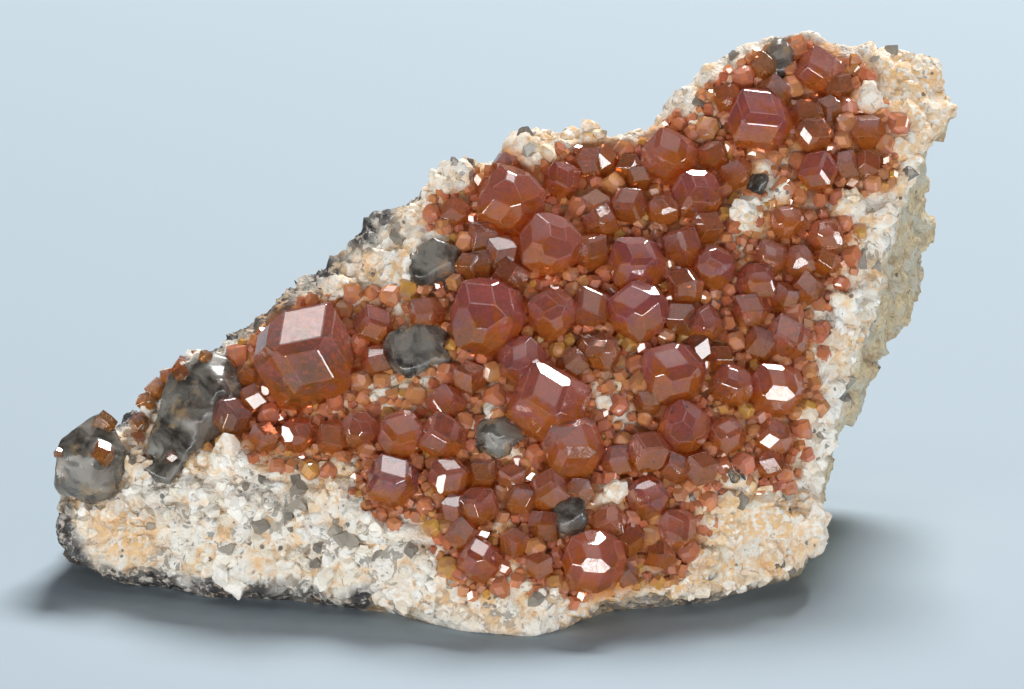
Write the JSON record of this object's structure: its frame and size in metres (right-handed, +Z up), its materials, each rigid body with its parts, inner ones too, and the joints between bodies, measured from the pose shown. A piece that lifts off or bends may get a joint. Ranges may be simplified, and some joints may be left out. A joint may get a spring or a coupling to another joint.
{
  "type": "garnet in matrix",
  "caption": "Mineral specimen: red-brown garnet crystals and smoky quartz grown on a wedge of white feldspar rock, resting on a flat base",
  "frame": {"origin": "middle of the flat face that the rock rests on", "axes": "+Z up, +X along the specimen's length towards its tall end, -Y towards the garnet-covered front"},
  "size_m": [0.0947, 0.0544, 0.0533],
  "materials": {
    "rock": "rough white feldspar with grey quartz grains and rust stain",
    "smoky_quartz": "cloudy grey-brown, frosted faces",
    "garnet": "glossy flat faces, translucent orange to red-brown"
  },
  "bodies": {
    "root": {"matrix": "rock", "quartz_left_end": "smoky_quartz", "quartz_left": "smoky_quartz", "quartz_centre": "smoky_quartz", "quartz_upper_left": "smoky_quartz", "quartz_low_centre": "smoky_quartz", "quartz_low_dark": "smoky_quartz", "quartz_summit": "smoky_quartz", "quartz_upper_right": "smoky_quartz", "quartz_low_right": "smoky_quartz", "garnets_left": "garnet", "garnets_far_left": "garnet", "garnets_centre": "garnet", "garnets_upper": "garnet", "garnets_ridge": "garnet", "garnets_summit": "garnet", "garnets_upper_right": "garnet", "garnets_right": "garnet", "garnets_middle_right": "garnet", "garnets_lower": "garnet", "garnets_foot": "garnet"}
  },
  "joints": []
}
